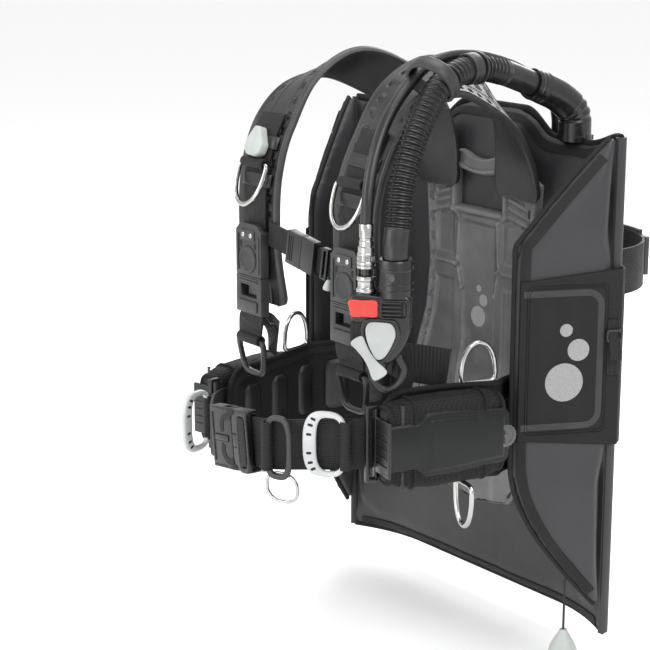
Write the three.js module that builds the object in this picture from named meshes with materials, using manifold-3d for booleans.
// Back-inflation buoyancy compensator vest for scuba diving, in millimetres.
// +Z is up, the diver faces -Y and the diver's left arm is at +X. The origin is the
// centre of the face that the air tank leans on.
import * as THREE from 'three';
import { mergeVertices } from 'three/addons/utils/BufferGeometryUtils.js';
import Module from 'manifold-3d';

const wasm = await Module();
wasm.setup();

// ---------------------------------------------------------------- driving dimensions
const GAP = 0.4;               // between pieces that lie on each other
const RUN = 0.6;               // around a ring's bar in its webbing loop
const TANK_R = 85.5;           // 171 mm tank
const PAD = { width: 64, height: 190, depth: 8 };
const CELL = { half: 205, core: 112, depth: 20, edge: 12, bottom: -280, top: 240, dip: 214.5 };
const FLAP = { start: 1.5, lean: 64, width: 98, depth: 14, top: 230, bottom: -246 };
const PLATE = { depth: 11, top: 184, bottom: -196, grip: 72, gripHeight: 39, gripZ: 150 };
const STRAP = { width: 66, depth: 7, x: 80 };
const WEB = { wide: 50, narrow: 38, depth: 2.5 };
const BELT_Z = -65;            // height of the belt at the front
const BELT_TILT = 0.12;        // how much higher it sits towards the diver's left
const WAIST = { height: 88, depth: 8 };
const POCKET = { length: 124, height: 86, depth: 30, wall: 4.5, lip: 3 };
const STEEL_R = 2.5;           // wire of the steel rings
const HOSE_R = 13;
const LP_R = 5.75;
const BODY = { width: 56, height: 58, depth: 28, turn: 45 };

const BLACK = { color: 0x2b2d30, roughness: 0.75, metalness: 0 };
const CLOTH = { color: 0x33363a, roughness: 0.85, metalness: 0 };
const RUBBER = { color: 0x3a3d40, roughness: 0.5, metalness: 0 };
const STEEL = { color: 0xb8b4ac, roughness: 0.25, metalness: 1 };
const WHITE = { color: 0xe6e9ec, roughness: 0.45, metalness: 0 };
const GREY = { color: 0x63666b, roughness: 0.5, metalness: 0 };
const PALE = { color: 0xc6cdd0, roughness: 0.5, metalness: 0 };
const RED = { color: 0xe0574d, roughness: 0.45, metalness: 0 };

const vest = new THREE.Group();
const V = (x, y, z) => new THREE.Vector3(x, y, z);
const UP = V(0, 0, 1);
const rad = THREE.MathUtils.degToRad;

function add(name, geometry, finish) {
  const mesh = new THREE.Mesh(geometry, new THREE.MeshStandardMaterial(finish));
  mesh.name = name;
  vest.add(mesh);
}

// The left piece as it is, and its mirror image on the right, moved down by drop.
function addPair(name, geometry, finish, drop = 0) {
  add(`${name}_left`, geometry, finish);
  add(`${name}_right`, mirrored(geometry, drop), finish);
}

// ---------------------------------------------------------------- solids
function bare(geometry) {
  const g = geometry.clone();
  g.deleteAttribute('normal');
  g.deleteAttribute('uv');
  return mergeVertices(g, 1e-4);
}

function toSolid(geometry) {
  const g = bare(geometry);
  return new wasm.Manifold(new wasm.Mesh({
    numProp: 3,
    vertProperties: new Float32Array(g.attributes.position.array),
    triVerts: new Uint32Array(g.index.array),
  }));
}

function fromSolid(solid) {
  const mesh = solid.getMesh();
  const g = new THREE.BufferGeometry();
  g.setAttribute('position', new THREE.BufferAttribute(new Float32Array(mesh.vertProperties), 3));
  g.setIndex(new THREE.BufferAttribute(new Uint32Array(mesh.triVerts), 1));
  return g;
}

const join = (...parts) => fromSolid(parts.map(toSolid).reduce((a, b) => a.add(b)));
const cut = (whole, ...tools) => fromSolid(tools.map(toSolid).reduce((a, b) => a.subtract(b), toSolid(whole)));

function volume(positions, index) {
  let sum = 0;
  const p = [V(0, 0, 0), V(0, 0, 0), V(0, 0, 0)];
  for (let i = 0; i < index.length; i += 3) {
    p.forEach((v, k) => v.fromArray(positions, 3 * index[i + k]));
    sum += p[0].dot(p[1].clone().cross(p[2]));
  }
  return sum;
}

// A closed mesh from points and triangles, turned so that its faces point out.
function closed(points, triangles) {
  const positions = points.flatMap((p) => [p.x, p.y, p.z]);
  const index = triangles.flat();
  if (volume(positions, index) < 0) index.reverse();
  const g = new THREE.BufferGeometry();
  g.setAttribute('position', new THREE.Float32BufferAttribute(positions, 3));
  g.setIndex(index);
  return g;
}

function mirrored(geometry, drop) {
  const g = bare(geometry);
  g.applyMatrix4(new THREE.Matrix4().makeScale(-1, 1, 1));
  g.translate(0, 0, drop);
  g.setIndex(Array.from(g.index.array).reverse());
  return g;
}

// A sheet with thickness. rows[i][j] is a pair [outer point, inner point].
function slab(rows) {
  const columns = rows[0].length;
  const count = rows.length * columns;
  const points = [...rows.flat().map((pair) => pair[0]), ...rows.flat().map((pair) => pair[1])];
  const triangles = [];
  const quad = (a, b, c, d) => triangles.push([a, b, c], [a, c, d]);
  const at = (i, j) => i * columns + j;
  for (let i = 0; i + 1 < rows.length; i++) {
    for (let j = 0; j + 1 < columns; j++) {
      quad(at(i, j), at(i, j + 1), at(i + 1, j + 1), at(i + 1, j));
      quad(count + at(i, j), count + at(i + 1, j), count + at(i + 1, j + 1), count + at(i, j + 1));
    }
  }
  const rim = [];
  for (let j = 0; j < columns; j++) rim.push(at(0, j));
  for (let i = 1; i < rows.length; i++) rim.push(at(i, columns - 1));
  for (let j = columns - 2; j >= 0; j--) rim.push(at(rows.length - 1, j));
  for (let i = rows.length - 2; i > 0; i--) rim.push(at(i, 0));
  rim.forEach((a, k) => {
    const b = rim[(k + 1) % rim.length];
    quad(b, a, count + a, count + b);
  });
  return closed(points, triangles);
}

// A flat strip along a route, raised by lift from it over the share between from and to.
// across(t) is the direction of its width.
function ribbon(points, width, depth, across, { steps = 24, from = 0, to = 1, lift = 0 } = {}) {
  const curve = new THREE.CatmullRomCurve3(points, false, 'centripetal');
  const rows = [];
  for (let i = 0; i <= steps; i++) {
    const t = THREE.MathUtils.lerp(from, to, i / steps);
    const along = curve.getTangentAt(t);
    const out = along.clone().cross(across(t)).normalize();
    const centre = curve.getPointAt(t).addScaledVector(out, lift);
    const side = out.clone().cross(along).normalize();
    rows.push([-0.5, 0.5].map((s) => {
      const edge = centre.clone().addScaledVector(side, s * width);
      return [0.5, -0.5].map((d) => edge.clone().addScaledVector(out, d * depth));
    }));
  }
  return slab(rows);
}

function block(low, high) {
  const size = high.clone().sub(low);
  const g = new THREE.BoxGeometry(size.x, size.y, size.z);
  g.translate((low.x + high.x) / 2, (low.y + high.y) / 2, (low.z + high.z) / 2);
  return g;
}

// Local x, y and z become the directions a, b and c at a place.
function placed(geometry, a, b, c, origin) {
  const g = geometry.clone();
  g.applyMatrix4(new THREE.Matrix4().makeBasis(a, b, c).setPosition(origin));
  return g;
}

function extrudeZ(shape, low, high) {
  const g = new THREE.ExtrudeGeometry(shape, { depth: high - low, bevelEnabled: false, curveSegments: 8 });
  g.translate(0, 0, low);
  return g;
}

const flatPoints = (points) => points.map(([x, y]) => new THREE.Vector2(x, y));

// A flat outline, always counter-clockwise, with an optional hole.
function outline(points, hole) {
  const ring = flatPoints(points);
  if (THREE.ShapeUtils.isClockWise(ring)) ring.reverse();
  const shape = new THREE.Shape(ring);
  if (hole) shape.holes.push(new THREE.Path(flatPoints(hole)));
  return shape;
}

function circlePoints(x, y, r, count, from = 0, sweep = 360) {
  const last = sweep === 360 ? count : count - 1;
  return Array.from({ length: count }, (_, i) => {
    const a = rad(from + sweep * i / last);
    return [x + r * Math.cos(a), y + r * Math.sin(a)];
  });
}

// A straight pipe along local x, centred at the origin.
function pipe(outer, inner, length, sides = 14) {
  const shape = outline(circlePoints(0, 0, outer, sides), circlePoints(0, 0, inner, sides));
  const g = extrudeZ(shape, -length / 2, length / 2);
  g.rotateY(Math.PI / 2);
  return g;
}

function rod(points, r, sides = 10, steps = 20) {
  const curve = new THREE.CatmullRomCurve3(points, false, 'centripetal');
  return new THREE.ExtrudeGeometry(outline(circlePoints(0, 0, r, sides)), { steps, extrudePath: curve, bevelEnabled: false });
}

// A turned piece about local z. profile holds [radius, height] pairs from axis to axis.
function turned(profile, sides = 20) {
  return new THREE.LatheGeometry(profile.map(([r, z]) => new THREE.Vector2(r, z)), sides).rotateX(Math.PI / 2);
}

// A wire bent to a closed loop in the local xz plane.
function wireLoop(points, r, sides = 6) {
  const n = points.length;
  const rings = points.map((p, i) => {
    const along = points[(i + 1) % n].clone().sub(points[(i + n - 1) % n]).normalize();
    const inward = along.clone().cross(V(0, 1, 0)).normalize();
    return Array.from({ length: sides }, (_, k) => {
      const a = 2 * Math.PI * (k + 0.5) / sides;
      return p.clone().addScaledVector(inward, r * Math.cos(a)).addScaledVector(V(0, 1, 0), r * Math.sin(a));
    });
  });
  const triangles = [];
  rings.forEach((_, i) => {
    for (let k = 0; k < sides; k++) {
      const a = i * sides + k;
      const b = i * sides + (k + 1) % sides;
      const c = ((i + 1) % n) * sides + (k + 1) % sides;
      const d = ((i + 1) % n) * sides + k;
      triangles.push([a, b, c], [a, c, d]);
    }
  });
  return closed(rings.flat(), triangles);
}

// A D-ring: a straight bar along local x through the origin and a bow towards -z.
function dRing(inside, reach, r) {
  const half = inside / 2 + r;
  const corner = 5;
  const points = [V(-half + corner, 0, 0), V(0, 0, 0), V(half - corner, 0, 0), V(half - 0.3 * corner, 0, -0.3 * corner)];
  for (let i = 0; i <= 10; i++) {
    const a = Math.PI * i / 10;
    points.push(V(half * Math.cos(a), 0, -corner - (reach - corner) * Math.sin(a) ** 0.8));
  }
  points.push(V(-half + 0.3 * corner, 0, -0.3 * corner));
  return wireLoop(points, r);
}

// ---------------------------------------------------------------- back: tank pad, plate and air cell
const bandZ = { low: 35, high: 85 };
const bandInset = 3.6;         // depth of the channel that the tank band crosses the pad in

function tankPad() {
  const half = PAD.width / 2;
  const body = block(V(-half, -PAD.depth, -PAD.height / 2), V(half, 0, PAD.height / 2));
  const channel = block(V(-half - 1, -PAD.depth - 1, bandZ.low - 1), V(half + 1, bandInset - PAD.depth, bandZ.high + 1));
  return cut(body, channel);
}
add('tank_pad', tankPad(), BLACK);

const cellBack = -PAD.depth - GAP;

// Height of the air cell's top edge: high behind the neck, low at the shoulders.
function cellTop(x) {
  const a = Math.abs(x);
  const fall = THREE.MathUtils.smoothstep(a, 45, 92);
  const rise = THREE.MathUtils.smoothstep(a, 137, CELL.half);
  return CELL.top - (CELL.top - CELL.dip) * fall + (FLAP.top - CELL.dip) * rise;
}

function cellSection(x) {
  const share = THREE.MathUtils.clamp((Math.abs(x) - CELL.core) / (CELL.half - CELL.core), 0, 1);
  const middle = cellBack - CELL.depth / 2 - 26 * share ** 2;
  const half = THREE.MathUtils.lerp(CELL.depth, CELL.edge, share ** 2) / 2;
  return { middle, half };
}

function airCellBack() {
  const rows = [];
  for (let i = 0; i <= 20; i++) {
    const x = CELL.half * (i / 10 - 1);
    const { middle, half } = cellSection(x);
    const top = cellTop(x);
    rows.push([0, 0.02, 0.25, 0.5, 0.75, 0.98, 1].map((t) => {
      const puff = t === 0 || t === 1 ? 0.45 : 1;
      const z = THREE.MathUtils.lerp(CELL.bottom, top, t);
      return [V(x, middle - half * puff, z), V(x, middle + half * puff, z)];
    }));
  }
  return slab(rows);
}
add('air_cell_back', airCellBack(), CLOTH);

const foldSection = cellSection(CELL.half);
const fold = V(CELL.half + 2, foldSection.middle - foldSection.half - GAP, 0);
const lean = V(-Math.cos(rad(FLAP.lean)), -Math.sin(rad(FLAP.lean)), 0);
const flapOut = V(-lean.y, lean.x, 0);

// Width of the flap at a height: it narrows to the fold at the top and at the bottom.
function flapWidth(z) {
  const high = THREE.MathUtils.clamp((FLAP.top - z) / (FLAP.top - 128), 0, 1);
  const low = THREE.MathUtils.clamp((z - FLAP.bottom) / (-88 - FLAP.bottom), 0, 1);
  return 6 + (FLAP.width - 6) * Math.min(high ** 0.9, Math.sin(low * Math.PI / 2));
}

function airCellFlap() {
  const rows = [];
  for (let i = 0; i <= 20; i++) {
    const z = THREE.MathUtils.lerp(FLAP.bottom, FLAP.top, i / 20);
    const width = flapWidth(z);
    rows.push([0, 0.06, 0.35, 0.65, 0.94, 1].map((t) => {
      const half = FLAP.depth / 2 * (t === 0 || t === 1 ? 0.5 : 1);
      const p = fold.clone().addScaledVector(lean, FLAP.start + t * width).setZ(z);
      return [p.clone().addScaledVector(flapOut, half), p.clone().addScaledVector(flapOut, -half)];
    }));
  }
  return slab(rows);
}
addPair('air_cell_flap', airCellFlap(), CLOTH);

function sideBand() {
  const lift = FLAP.depth / 2 + GAP + WEB.depth / 2;
  const onFlap = (s) => fold.clone().addScaledVector(lean, s).addScaledVector(flapOut, lift);
  const behind = (x) => {
    const { middle, half } = cellSection(x);
    return V(x + 1, middle + half + GAP + WEB.depth / 2, 0);
  };
  const route = [onFlap(FLAP.width - 2), onFlap(FLAP.width / 2), onFlap(8), onFlap(-8), behind(198), behind(180), behind(150)];
  const curve = new THREE.CatmullRomCurve3(route, false, 'centripetal');
  const rows = [];
  for (let i = 0; i <= 16; i++) {
    const p = curve.getPointAt(i / 16);
    const out = curve.getTangentAt(i / 16).cross(UP).normalize();
    const high = 94 + 9 * Math.min(1, i / 8);
    const low = -66 - 8 * Math.min(1, i / 8);
    rows.push([low, high].map((z) => [1, -1].map((d) => p.clone().addScaledVector(out, -d * WEB.depth / 2).setZ(z))));
  }
  return slab(rows);
}
addPair('side_band', sideBand(), BLACK);

const plateBack = cellBack - CELL.depth - GAP;
const plateFront = plateBack - PLATE.depth;

function backplate() {
  const side = [[32, 192], [90, 166], [86, 120], [82, 60], [88, 10], [104, -40], [110, -90], [95, -140], [60, -185]];
  const left = side.map(([x, z]) => [-x, z]).reverse();
  const half = PLATE.grip / 2;
  const low = PLATE.gripZ - PLATE.gripHeight / 2;
  const high = PLATE.gripZ + PLATE.gripHeight / 2;
  const grip = [[-half, low + 6], [-half, high], [half, high], [half, low + 6], [half - 8, low], [8 - half, low]];
  const shape = outline([[0, PLATE.top], ...side, [0, PLATE.bottom], ...left], grip);
  const body = extrudeZ(shape, -PLATE.depth, 0).rotateX(Math.PI / 2).translate(0, plateFront, 0);
  const recesses = [-1, 1].flatMap((s) => [[72, 126], [-120, 54]].map(([z0, z1]) => {
    const [x0, x1] = s > 0 ? [36, 76] : [-76, -36];
    return block(V(x0, plateFront - 1, z0), V(x1, plateFront + 3, z1));
  }));
  return cut(body, ...recesses);
}
add('backplate', backplate(), RUBBER);

// ---------------------------------------------------------------- tank band and cam buckle
const bandMid = TANK_R + 0.5 + WEB.depth / 2;
const bandFlat = { x: PAD.width / 2 + 2, y: bandInset / 2 - PAD.depth };

// Closed route of the band's middle line in plan: flat across the pad, round the tank.
function bandRoute(offset) {
  const r = bandMid + offset;
  const p = V(bandFlat.x, bandFlat.y - offset, 0);
  const reach = Math.hypot(p.x, TANK_R - p.y);
  const start = Math.atan2(p.y - TANK_R, p.x) + Math.acos(r / reach);
  const turn = 180 - 2 * THREE.MathUtils.radToDeg(start);
  return [[-p.x, p.y], [p.x, p.y], ...circlePoints(0, TANK_R, r, 30, THREE.MathUtils.radToDeg(start), turn)];
}

function tankBand() {
  return extrudeZ(outline(bandRoute(WEB.depth / 2), bandRoute(-WEB.depth / 2)), bandZ.low, bandZ.high);
}
add('tank_band', tankBand(), BLACK);

const camInner = bandMid + WEB.depth / 2 + GAP;
const camPivot = { x: -24, y: TANK_R + camInner + 10.5 };
const camZ = { low: bandZ.low - 4, high: bandZ.high + 4 };

function arcPlate(inner, outer, from, sweep, low, high) {
  const points = [...circlePoints(0, TANK_R, outer, 9, from, sweep), ...circlePoints(0, TANK_R, inner, 9, from, sweep).reverse()];
  return extrudeZ(outline(points), low, high);
}

function camFrame() {
  const base = arcPlate(camInner, camInner + 4, 66, 44, camZ.low, camZ.high);
  const ear = (z0, z1) => {
    const { x, y } = camPivot;
    const shape = outline(circlePoints(x, y, 7, 14), circlePoints(x, y, 3.4, 12));
    const foot = block(V(camPivot.x - 6, camPivot.y - 11, z0), V(camPivot.x + 6, camPivot.y - 4, z1));
    return join(extrudeZ(shape, z0, z1), foot);
  };
  return join(base, ear(camZ.low, camZ.low + 5), ear(camZ.high - 5, camZ.high));
}
add('cam_buckle_frame', camFrame(), BLACK);

function camLever() {
  const inset = 5 + GAP;
  const low = camZ.low + inset;
  const high = camZ.high - inset;
  const barrel = extrudeZ(outline(circlePoints(camPivot.x, camPivot.y, 5.6, 14)), low, high);
  const pin = extrudeZ(outline(circlePoints(camPivot.x, camPivot.y, 3, 12)), camZ.low, camZ.high);
  const blade = arcPlate(camInner + 5.4, camInner + 10, 62, 44, low + 2, high - 2);
  return join(barrel, pin, blade);
}
add('cam_lever', camLever(), GREY);

// ---------------------------------------------------------------- shoulder straps
const strapRoute = [
  V(62, plateFront - 4, 150), V(64, -53, 200), V(68, -74, 240), V(74, -115, 270), V(80, -165, 285), V(82, -215, 268),
  V(82, -250, 225), V(STRAP.x, -266, 180), V(STRAP.x, -269, 130), V(STRAP.x, -266, 90), V(STRAP.x, -258, 45),
];
const strapCurve = new THREE.CatmullRomCurve3(strapRoute, false, 'centripetal');
const strapRoll = (t) => rad(35) * Math.sin(Math.PI * THREE.MathUtils.clamp(t / 0.62, 0, 1)) ** 1.5;

// The direction across the strap, from its inner to its outer edge, and out of its face.
function strapFrame(t) {
  const along = strapCurve.getTangentAt(t);
  const flat = V(1, 0, 0).addScaledVector(along, -along.x).normalize();
  const across = flat.applyAxisAngle(along, -strapRoll(t));
  return { centre: strapCurve.getPointAt(t), along, across, out: along.clone().cross(across) };
}

function shoulderStrap() {
  const rows = [];
  for (let i = 0; i <= 36; i++) {
    const { centre, across, out } = strapFrame(i / 36);
    rows.push([-0.5, -0.4, 0.4, 0.5].map((s) => {
      const half = STRAP.depth / 2 * (Math.abs(s) === 0.5 ? 0.5 : 1);
      const p = centre.clone().addScaledVector(across, s * STRAP.width);
      return [p.clone().addScaledVector(out, half), p.clone().addScaledVector(out, -half)];
    }));
  }
  return slab(rows);
}
addPair('shoulder_strap', shoulderStrap(), RUBBER);

// A pipe of webbing round a ring's bar, which lies along the direction bar.
function barLoop(length, bar, out, centre, barR = STEEL_R) {
  const hole = barR + RUN;
  return placed(pipe(hole + 2.2, hole, length), bar, out, bar.clone().cross(out), centre);
}
const loopLift = (barR) => barR + RUN + 2.2 + WEB.depth / 2 - 0.7;  // bar's height over a strip's middle

function ringOn(inside, reach, r, bar, bow, centre) {
  return placed(dRing(inside, reach, r), bar, bow.clone().negate().cross(bar), bow.clone().negate(), centre);
}

const buckleFace = -269 - STRAP.depth / 2 - GAP;
const buckle = { top: 130, split: 76, bottom: 36, width: 44, depth: 11 };
const shoulderRingZ = 190;

function strapPointAtHeight(z) {
  for (let t = 0.6; t < 1; t += 0.002) {
    if (strapCurve.getPointAt(t).z < z) return t;
  }
  return 1;
}

const webLift = STRAP.depth / 2 + GAP + WEB.depth / 2 + 0.2;
const ringShare = strapPointAtHeight(shoulderRingZ);

function overStrap(t, lift) {
  const { centre, out } = strapFrame(t);
  return centre.addScaledVector(out, lift);
}
const shoulderBar = overStrap(ringShare, webLift + loopLift(STEEL_R));

function shoulderWebbing() {
  const last = strapPointAtHeight(buckle.top);
  const route = [0, 0.2, 0.4, 0.6, 0.8, 1].map((s) => overStrap(THREE.MathUtils.lerp(0.6, last, s), webLift));
  route.push(V(STRAP.x, buckleFace - WEB.depth / 2, buckle.top - 8));
  const strip = ribbon(route, WEB.narrow, WEB.depth, () => V(1, 0, 0));
  return join(strip, barLoop(WEB.narrow - 2, V(1, 0, 0), V(0, -1, 0), shoulderBar));
}
addPair('shoulder_webbing', shoulderWebbing(), BLACK);

function shoulderRing() {
  const { along, out } = strapFrame(ringShare);
  const bow = V(0, along.y + 0.1 * out.y, along.z + 0.1 * out.z).normalize();
  return ringOn(WEB.narrow + 3, 44, STEEL_R, V(1, 0, 0), bow, shoulderBar);
}
addPair('shoulder_dring', shoulderRing(), STEEL);

const buckleFront = buckleFace - buckle.depth;
const slotDepth = WEB.depth + 3 * GAP;

function buckleBlock(z0, z1, taper) {
  const half = buckle.width / 2;
  const shape = outline([[-half + taper, z1], [-half, z1 - taper], [-half, z0], [half, z0], [half, z1 - taper], [half - taper, z1]]);
  return extrudeZ(shape, 0, buckle.depth).rotateX(Math.PI / 2).translate(STRAP.x, buckleFace, 0);
}

function shoulderFemale() {
  const half = WEB.narrow / 2 + GAP + 0.2;
  const notch = block(V(STRAP.x - half, buckleFace - slotDepth, buckle.top - 9), V(STRAP.x + half, buckleFace + 1, buckle.top + 1));
  const mid = buckleFace - buckle.depth / 2;
  const cavity = block(V(STRAP.x - 15, mid - 3.2, buckle.split - 1), V(STRAP.x + 15, mid + 3.2, buckle.split + 20));
  return cut(buckleBlock(buckle.split, buckle.top, 8), notch, cavity);
}
addPair('shoulder_buckle_female', shoulderFemale(), RUBBER);

function shoulderMale() {
  const mid = buckleFace - buckle.depth / 2;
  const tongue = block(V(STRAP.x - 14, mid - 2.6, buckle.split - 4), V(STRAP.x + 14, mid + 2.6, buckle.split + 18));
  const body = join(buckleBlock(buckle.bottom, buckle.split - GAP, 0), tongue);
  const half = WEB.narrow / 2 + 0.8;
  const slot = block(V(STRAP.x - half, mid - 3.2, buckle.bottom - 1), V(STRAP.x + half, mid + 3.2, buckle.bottom + 10));
  const window = block(V(STRAP.x - 14, buckleFront - 1, 54), V(STRAP.x + 14, buckleFace + 1, 66));
  return cut(body, slot, window);
}
addPair('shoulder_buckle_male', shoulderMale(), RUBBER);

// ---------------------------------------------------------------- chest strap
const chest = { y: buckleFace - GAP - WEB.depth / 2, z: 114, tilt: 9, width: 25, reach: 56 };

// Local x runs along the chest strap towards the diver's left.
function onChest(geometry) {
  return geometry.rotateY(rad(chest.tilt)).translate(0, chest.y, chest.z);
}

function chestStrip(x0, x1) {
  return block(V(x0, -WEB.depth / 2, -chest.width / 2), V(x1, WEB.depth / 2, chest.width / 2));
}
add('chest_webbing_right', onChest(chestStrip(-chest.reach, -13)), BLACK);
add('chest_webbing_left', onChest(chestStrip(10, chest.reach)), BLACK);

const sleeve = { half: 17, depth: 10, wall: 2.2 };

function chestFemale() {
  const body = block(V(-18, -6.5, -sleeve.half), V(6, -6.5 + sleeve.depth, sleeve.half));
  const inner = block(V(-19, -6.5 + sleeve.wall, -chest.width / 2 - 1), V(7, 5 - sleeve.wall, chest.width / 2 + 1));
  return onChest(cut(body, inner));
}
add('chest_buckle_female', chestFemale(), BLACK);

function chestMale() {
  const body = block(V(6 + GAP, -6.5, -sleeve.half), V(26, 3.5, sleeve.half));
  const tunnel = block(V(9, -WEB.depth / 2 - GAP, -chest.width / 2 - 1), V(27, WEB.depth / 2 + GAP, chest.width / 2 + 1));
  const prong = (z0, z1) => block(V(-9, -3.5, z0), V(8, 2, z1));
  return onChest(cut(join(body, prong(-12, -6), prong(6, 12)), tunnel));
}
add('chest_buckle_male', chestMale(), BLACK);

// ---------------------------------------------------------------- waist belt
// In plan the belt is straight across the front and behind each weight pocket.
const beltFront = -352;
const pocketFrontPlan = V(130, -286, 0);
const pocketRearPlan = V(160, -156, 0);
const ringPlan = [V(80, -331, 0), V(115, -304, 0)];
const beltEnd = V(107, plateFront - 6, 0);

function beltHeight(x, y) {
  const front = THREE.MathUtils.smoothstep(-y, 60, 250);
  return BELT_Z + BELT_TILT * x * (0.4 + 0.6 * front);
}

function beltPlan(start) {
  const behind = [0.015, 0.06, 0.15, 0.4, 0.7, 0.9, 0.96, 1].map((t) => pocketFrontPlan.clone().lerp(pocketRearPlan, t));
  return [V(start, beltFront, 0), V(40, beltFront, 0), V(58, -346, 0), ...ringPlan, ...behind,
    V(158, -148, 0), V(150, -137, 0), V(141, -119, 0), V(131, -94, 0), V(120, -68, 0), beltEnd];
}

function onSide(points, side) {
  return points.map((p) => V(side * p.x, p.y, beltHeight(side * p.x, p.y)));
}

const beltUnit = (a, b) => b.clone().sub(a).normalize();
const ringAlong = beltUnit(ringPlan[0], ringPlan[1]);
const ringOut = V(-ringAlong.y, ringAlong.x, 0).negate();
const flip = (v, side) => V(side * v.x, v.y, v.z);

// Where a vertical ring bar stands in front of the belt, on either side.
function beltBar(plan, out, barR, side) {
  const p = plan.clone().addScaledVector(out, loopLift(barR));
  return V(side * p.x, p.y, beltHeight(side * plan.x, plan.y));
}
const whiteBarPlan = ringPlan[1].clone().addScaledVector(ringAlong, -2);
const greyPlan = V(49, -349.5, 0);
const greyAlong = beltUnit(V(40, beltFront, 0), V(62, -343.5, 0));
const greyOut = V(greyAlong.y, -greyAlong.x, 0);
const RING_R = 3;

function beltWebbing(side) {
  const start = side > 0 ? 8 : 27;
  const strip = ribbon(onSide(beltPlan(start), side), WEB.wide, WEB.depth, () => UP, { steps: 60 });
  const loops = [barLoop(WEB.wide - 2, UP, flip(ringOut, side), beltBar(whiteBarPlan, ringOut, RING_R, side), RING_R)];
  if (side > 0) loops.push(barLoop(WEB.wide - 2, UP, greyOut, beltBar(greyPlan, greyOut, RING_R, 1), RING_R));
  return join(strip, ...loops);
}
add('belt_webbing_left', beltWebbing(1), BLACK);
add('belt_webbing_right', beltWebbing(-1), BLACK);

function beltRing(side, opened) {
  const bow = flip(ringAlong, side).negate().applyAxisAngle(UP, rad(opened));
  return ringOn(WEB.wide + 4, 40, RING_R, UP, bow, beltBar(whiteBarPlan, ringOut, RING_R, side));
}
add('belt_dring_left', beltRing(1, 0), WHITE);
add('belt_dring_right', beltRing(-1, -35), WHITE);
add('belt_dring_grey', ringOn(WEB.wide + 3, 26, RING_R, UP, greyAlong, beltBar(greyPlan, greyOut, RING_R, 1)), GREY);

const beltBuckle = { half: 31, front: 8.5, back: 4.6, left: -36, wall: 2.6, webEnd: -24, prong: -18 };
const beltZ0 = beltHeight(0, beltFront);

function beltFemale() {
  const b = beltBuckle;
  const body = block(V(b.left, -b.front, -b.half), V(-GAP, b.back, b.half));
  const halfWeb = WEB.wide / 2 + 0.6;
  const mouth = block(V(b.left - 1, b.wall - b.front, -halfWeb), V(b.left + 7, b.back - b.wall, halfWeb));
  const inner = block(V(b.left + 6, b.wall - b.front, -b.half + 3), V(1, b.back - b.wall, b.half - 3));
  const windows = [-1, 1].map((s) => block(V(b.prong, -4.5, s > 0 ? b.half - 4 : -b.half - 1), V(-6, 3, s > 0 ? b.half + 1 : 4 - b.half)));
  const back = block(V(b.left - 1, 0, -halfWeb), V(b.webEnd + 3, b.back + 1, halfWeb));
  return cut(body, mouth, inner, back, ...windows).rotateY(-Math.atan(BELT_TILT)).translate(0, beltFront, beltZ0);
}
add('belt_buckle_female', beltFemale(), BLACK);

function beltMale() {
  const b = beltBuckle;
  const body = block(V(0, -b.front, -b.half), V(28, b.back, b.half));
  const tunnel = block(V(5, -WEB.depth / 2 - 1, -WEB.wide / 2 - 2), V(29, WEB.depth / 2 + 1, WEB.wide / 2 + 2));
  const prong = (z0, z1) => block(V(b.prong, -4, z0), V(1, 1.6, z1));
  return cut(join(body, prong(-26, -16), prong(16, 26), prong(-4, 4)), tunnel)
    .rotateY(-Math.atan(BELT_TILT)).translate(0, beltFront, beltZ0);
}
add('belt_buckle_male', beltMale(), BLACK);

// ---------------------------------------------------------------- waist pads
const forward = beltUnit(pocketRearPlan, pocketFrontPlan);
const outward = V(-forward.y, forward.x, 0);
const padLift = WEB.depth / 2 + 2 * GAP + 0.2 + WAIST.depth / 2;
const waistRingPlan = pocketFrontPlan.clone().lerp(pocketRearPlan, 0.86).addScaledVector(outward, -padLift);
const padTop = WAIST.height / 2 - 2;

function waistBar(side) {
  const z = beltHeight(side * waistRingPlan.x, waistRingPlan.y) + padTop + STEEL_R + RUN + 1.6;
  return V(side * waistRingPlan.x, waistRingPlan.y, z);
}

function waistPad(side) {
  const route = onSide(beltPlan(40), side).map((p) => p.add(V(0, 0, padTop - WAIST.height / 2)));
  const strip = ribbon(route, WAIST.height, WAIST.depth, () => UP, { from: 0.3, to: 0.96, lift: side * -padLift, steps: 36 });
  return join(strip, barLoop(30, flip(forward, side), flip(outward, side), waistBar(side)));
}
add('waist_pad_left', waistPad(1), CLOTH);
add('waist_pad_right', waistPad(-1), CLOTH);
for (const [name, side] of [['left', 1], ['right', -1]]) {
  add(`waist_dring_${name}`, ringOn(33, 40, STEEL_R, flip(forward, side), UP, waistBar(side)), STEEL);
}

// ---------------------------------------------------------------- lower webbing and its pull ring
const buckleMid = buckleFace - buckle.depth / 2;
const tailBar = V(85, -278, 8);

// One length of webbing: a free tail with the pull ring, and a brace down to the waist pad.
function lowerWebbing(side) {
  const start = (z, y = 0) => V(STRAP.x, buckleMid + y, buckle.bottom + z);
  const tail = [start(6, -0.5), start(-3, -0.5), V(83, buckleMid - 0.3, 25), tailBar.clone().add(V(0, 0, 12)), tailBar.clone().add(V(0, 0, 4.8))];
  const foot = V(waistRingPlan.x - 8, waistRingPlan.y - 31, waistBar(side).z + 17);
  const brace = [start(6, 0.5), start(0, 0.7), V(81, buckleMid + 4, 29), V(89, -262, 23), foot.clone().lerp(V(89, -262, 23), 0.5), foot];
  const upright = V(0.25, 0.3, 0.92);
  const turn = (t) => V(1, 0, 0).lerp(upright, THREE.MathUtils.smoothstep(t, 0.2, 0.75)).normalize();
  return join(
    ribbon(tail, WEB.narrow, WEB.depth, () => V(1, 0, 0), { steps: 8 }),
    ribbon(brace, WEB.narrow, WEB.depth, turn, { steps: 16 }),
    barLoop(WEB.narrow - 2, V(1, 0, 0), V(0, -1, 0), tailBar, 3),
  );
}
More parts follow.
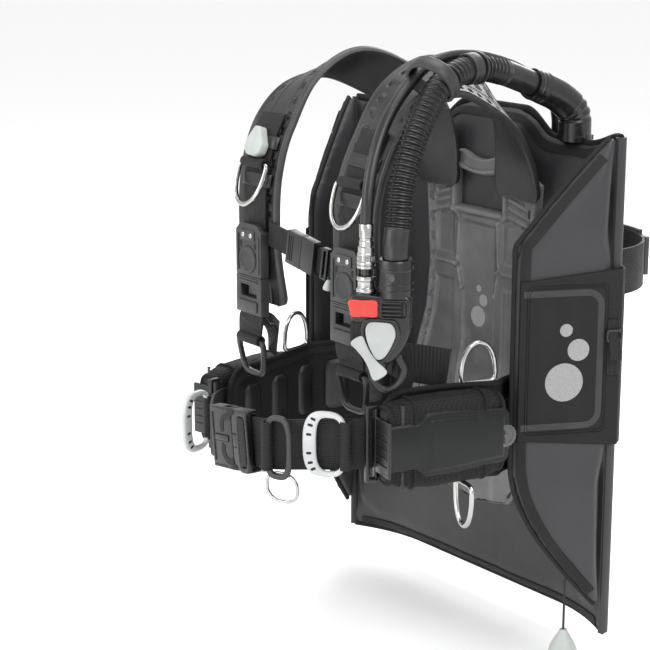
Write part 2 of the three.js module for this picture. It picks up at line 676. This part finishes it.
add('lower_webbing_left', lowerWebbing(1), BLACK);
add('lower_webbing_right', mirrored(lowerWebbing(-1), 0), BLACK);
addPair('pull_ring', ringOn(WEB.narrow + 3, 38, 3, V(1, 0, 0), V(0, 0.12, -1).normalize(), tailBar), GREY);

// ---------------------------------------------------------------- weight pockets
const pocketMid = pocketFrontPlan.clone().addScaledVector(forward, -POCKET.length / 2 - 1);
pocketMid.z = beltHeight(pocketMid.x, pocketMid.y);
const pocketDrop = beltHeight(-pocketMid.x, pocketMid.y) - pocketMid.z;
const inPocket = (g) => placed(g, forward, outward, UP, pocketMid);
const pocketInner = WEB.depth / 2 + 2 * GAP;
const pocketOuter = pocketInner + POCKET.depth;

function weightPocket() {
  const half = POCKET.length / 2;
  const tall = POCKET.height / 2;
  const body = block(V(-half, pocketInner, -tall), V(half, pocketOuter, tall));
  const frame = block(V(half - 8, pocketInner, -tall + 3), V(half + 13, pocketInner + POCKET.wall, tall - 3));
  const slot = block(V(half + 4, pocketInner - 1, -31), V(half + 9, pocketInner + POCKET.wall + 1, 31));
  const cavity = block(V(-half + 4, pocketInner + POCKET.wall, -tall + POCKET.lip), V(half + 1, pocketOuter - POCKET.lip, tall - POCKET.lip));
  const eyelet = placed(pipe(STEEL_R + RUN + 2.2, STEEL_R + RUN, 25), V(0, 1, 0), V(-1, 0, 0), UP, lowerBar);
  return inPocket(join(cut(join(body, frame), slot, cavity), eyelet));
}
const lowerBar = V(-24, (pocketInner + pocketOuter) / 2 + 3, -POCKET.height / 2 - STEEL_R - RUN - 1.4);
addPair('weight_pocket', weightPocket(), CLOTH, pocketDrop);
addPair('lower_dring', inPocket(placed(dRing(28, 44, STEEL_R), V(0, 1, 0), V(-1, 0, 0), UP, lowerBar)), STEEL, pocketDrop);

function weightPouch() {
  const half = POCKET.length / 2;
  const tall = POCKET.height / 2 - POCKET.lip - 1.5;
  const bag = block(V(-half + 6, pocketInner + POCKET.wall + 0.5, -tall), V(half + 2, pocketOuter - POCKET.lip - GAP, tall));
  const handle = block(V(half + GAP, pocketInner + POCKET.wall + 0.5, -28), V(half + 4, pocketOuter + 6, 28));
  const cover = block(V(-half - 4, pocketOuter + GAP, -32), V(half + 4, pocketOuter + 6, 32));
  return inPocket(join(bag, handle, cover));
}
addPair('weight_pouch', weightPouch(), BLACK, pocketDrop);

// ---------------------------------------------------------------- power inflator
const bodyMid = V(135, -283, 70);
const right = V(Math.cos(rad(BODY.turn)), Math.sin(rad(BODY.turn)), 0);
const inwards = V(-right.y, right.x, 0);
const onInflator = (g) => placed(g, right, inwards, UP, bodyMid);
const inflatorTop = BODY.height / 2 - 3;
const inflatorBottom = inflatorTop - BODY.height;
const cuff = { x: 13.4, r: 16.5, length: 34 };
const nipple = { x: -14, r: 5, length: 24 };
const shield = [[-9, 2], [9, 2], [15, -3], [15, -14], [5, -31], [0, -33], [-7, -26], [-12, -12], [-12, -2]];

function extrudeFront(points, depthOut, depthIn) {
  const shape = outline(points);
  return extrudeZ(shape, 0, depthOut + depthIn).rotateX(Math.PI / 2).translate(0, depthIn - BODY.depth / 2, 0);
}

function grown(points, by) {
  const cx = 2;
  const cz = -14;
  return points.map(([x, z]) => {
    const d = Math.hypot(x - cx, z - cz);
    return [x + (x - cx) / d * by, z + (z - cz) / d * by];
  });
}
const redArea = { x0: -BODY.width / 2 - 1, x1: -1, z0: 7, z1: inflatorTop - 3 };

function inflatorBody() {
  const half = BODY.width / 2;
  const deep = BODY.depth / 2;
  const shape = outline([[-half, inflatorTop], [half, inflatorTop], [half, -12], [18, inflatorBottom], [-6, inflatorBottom], [-24, 0], [-half, 8]]);
  const housing = extrudeZ(shape, -deep, deep).rotateX(Math.PI / 2);
  const top = turned([[0, -2], [cuff.r, -2], [cuff.r, cuff.length - 6], [HOSE_R + 1.5, cuff.length], [0, cuff.length]]);
  top.translate(cuff.x, 0, inflatorTop);
  const stub = turned([[0, -2], [nipple.r, -2], [nipple.r, nipple.length], [0, nipple.length]], 14);
  stub.translate(nipple.x, 0, inflatorTop);
  const red = block(V(redArea.x0 - 1, -deep - 1, redArea.z0), V(redArea.x1, -deep + 6, redArea.z1));
  const grey = extrudeFront(grown(shield, GAP + 0.3), 1, 5);
  return onInflator(cut(join(housing, top, stub), red, grey));
}
add('inflator_body', inflatorBody(), BLACK);

function inflateButton() {
  const deep = BODY.depth / 2;
  const low = V(redArea.x0, -deep - 3, redArea.z0 + GAP);
  return onInflator(block(low, V(redArea.x1 - GAP, -deep + 2.4, redArea.z1 - GAP)));
}
add('inflate_button', inflateButton(), RED);
add('deflate_button', onInflator(extrudeFront(shield, 3, 1.8)), PALE);

function mouthpiece() {
  const z = inflatorBottom - GAP;
  const route = [V(-5, 5, z), V(-5, 5, z - 4), V(-8, 6, z - 14), V(-7, 7, z - 26), V(3, 8, z - 36), V(15, 8, z - 32), V(22, 7, z - 16), V(17, 5, z - 4), V(17, 5, z)];
  return onInflator(rod(route, 3.4, 8, 26));
}
add('mouthpiece', mouthpiece(), BLACK);

const nippleFoot = inflatorTop + GAP;
function lpCollar() {
  const bore = nipple.r + GAP;
  const profile = [[bore, 0], [9.5, 0], [9.5, 4], [8, 5.5], [8, 11], [9, 12], [9, 16], [bore, 16], [bore, 0]];
  return onInflator(turned(profile, 18).translate(nipple.x, 0, nippleFoot + 1));
}
add('lp_collar', lpCollar(), STEEL);

const couplerFoot = inflatorTop + nipple.length + GAP;
const couplerLength = 42;
function lpCoupler() {
  const profile = [[0, 0], [9, 0], [9, 6], [8, 7], [8, 20], [6.8, 21], [6.8, couplerLength], [0, couplerLength]];
  return onInflator(turned(profile, 18).translate(nipple.x, 0, couplerFoot));
}
add('lp_coupler', lpCoupler(), STEEL);

// ---------------------------------------------------------------- hoses
const hoseRoute = [
  V(144.5, -273.5, 130.8), V(144.5, -273.5, 140), V(142, -268, 165), V(139, -263, 190), V(135, -251, 222), V(130, -233, 252),
  V(123, -203, 283), V(118, -174, 294), V(114, -144, 295), V(112, -112, 288), V(112, -78, 276),
];
add('corrugated_hose', rod(hoseRoute, HOSE_R, 12, 22), RUBBER);

const elbowX = 117;
const elbowSeat = cellTop(elbowX) + GAP;
function hoseElbow() {
  const route = [V(112, -77.3, 275.7), V(112, -58, 268.9), V(114, -38, 259), V(117, -22, 243), V(elbowX, -19, elbowSeat + 3)];
  const bend = rod(route, 16.5, 12, 14);
  const base = turned([[0, 0], [17, 0], [17, 7], [0, 7]]).translate(elbowX, cellBack - CELL.depth / 2, elbowSeat);
  return join(bend, base);
}
add('hose_elbow', hoseElbow(), BLACK);

const lpRoute = [
  V(125.1, -292.9, 162.8), V(125, -292, 178), V(121, -286, 202), V(115, -273, 230), V(108, -254, 256), V(102, -229, 279),
  V(98, -200, 299), V(94, -168, 306), V(90, -135, 305), V(86, -100, 298), V(82, -66, 287), V(78, -36, 272),
  V(74, -12, 254), V(70, 1, 230), V(68, 1.5, 200), V(68, 1.5, 170), V(68, 1.5, 140), V(68, 1.5, 115),
];
add('lp_hose', rod(lpRoute, LP_R, 8, 40), BLACK);

function lpFitting() {
  const profile = [[0, 0], [7, 0], [7, -14], [9, -15], [9, -24], [5.5, -25], [5.5, -34], [0, -34]];
  return turned(profile.reverse(), 16).translate(68, 1.5, 115 - GAP);
}
add('lp_fitting', lpFitting(), STEEL);

function hoseKeeper() {
  const t = 6;
  const hose = hoseRoute[t];
  const along = beltUnit(hoseRoute[t - 1], hoseRoute[t + 1]);
  const small = lpRoute[6].clone().sub(hose);
  small.addScaledVector(along, -small.dot(along));
  const across = small.clone().normalize();
  const distance = small.length();
  const lean2 = Math.acos((HOSE_R - LP_R) / distance) * 180 / Math.PI;
  const hull = (by) => [...circlePoints(0, 0, HOSE_R + by, 14, lean2, 360 - 2 * lean2),
    ...circlePoints(distance, 0, LP_R + 1 + by, 8, -lean2, 2 * lean2)];
  const shape = outline(hull(GAP + 2.6), hull(GAP + 0.6));
  return placed(extrudeZ(shape, -7, 7), across, along.clone().cross(across), along, hose);
}
add('hose_keeper', hoseKeeper(), BLACK);

// ---------------------------------------------------------------- dump valves
function shoulderDumpKnob() {
  const top = overStrap(strapPointAtHeight(222), webLift + WEB.depth / 2 + GAP + 5.5);
  const shape = outline([[-4, 0], [4, 0], [15, -18], [13, -27], [6, -31], [-8, -30], [-14, -24], [-13, -15]]);
  const g = extrudeZ(shape, -5.5, 5.5).rotateX(Math.PI / 2).rotateX(rad(-18));
  return g.translate(-top.x, top.y - 2, top.z);
}
add('shoulder_dump_knob', shoulderDumpKnob(), PALE);

const valve = V(84, cellBack + GAP, -225);
function rearDumpValve() {
  const profile = [[0, 0], [24, 0], [24, 5], [20, 9], [8, 11], [0, 11]];
  const g = new THREE.LatheGeometry(profile.map(([r, y]) => new THREE.Vector2(r, y)), 24);
  return g.translate(valve.x, valve.y, valve.z);
}
add('rear_dump_valve', rearDumpValve(), BLACK);

// The rear valve's pull cord comes out at the flap's edge and hangs in front of it.
const CORD_R = 1.25;
const cordTop = -213;
const cordRoute = [0, -20, -40, -58].map((down) => fold.clone()
  .addScaledVector(lean, FLAP.start + flapWidth(cordTop) + CORD_R + GAP).setZ(cordTop + down));
add('dump_cord', rod(cordRoute, CORD_R, 8, 12), BLACK);

function dumpKnob() {
  const profile = [[0, 0], [4, 0], [5, -4], [13, -17], [14.5, -24], [12, -30], [0, -31]];
  const foot = cordRoute[cordRoute.length - 1];
  return turned(profile.reverse(), 16).translate(foot.x, foot.y, foot.z - GAP);
}
add('dump_knob', dumpKnob(), PALE);

export default vest;
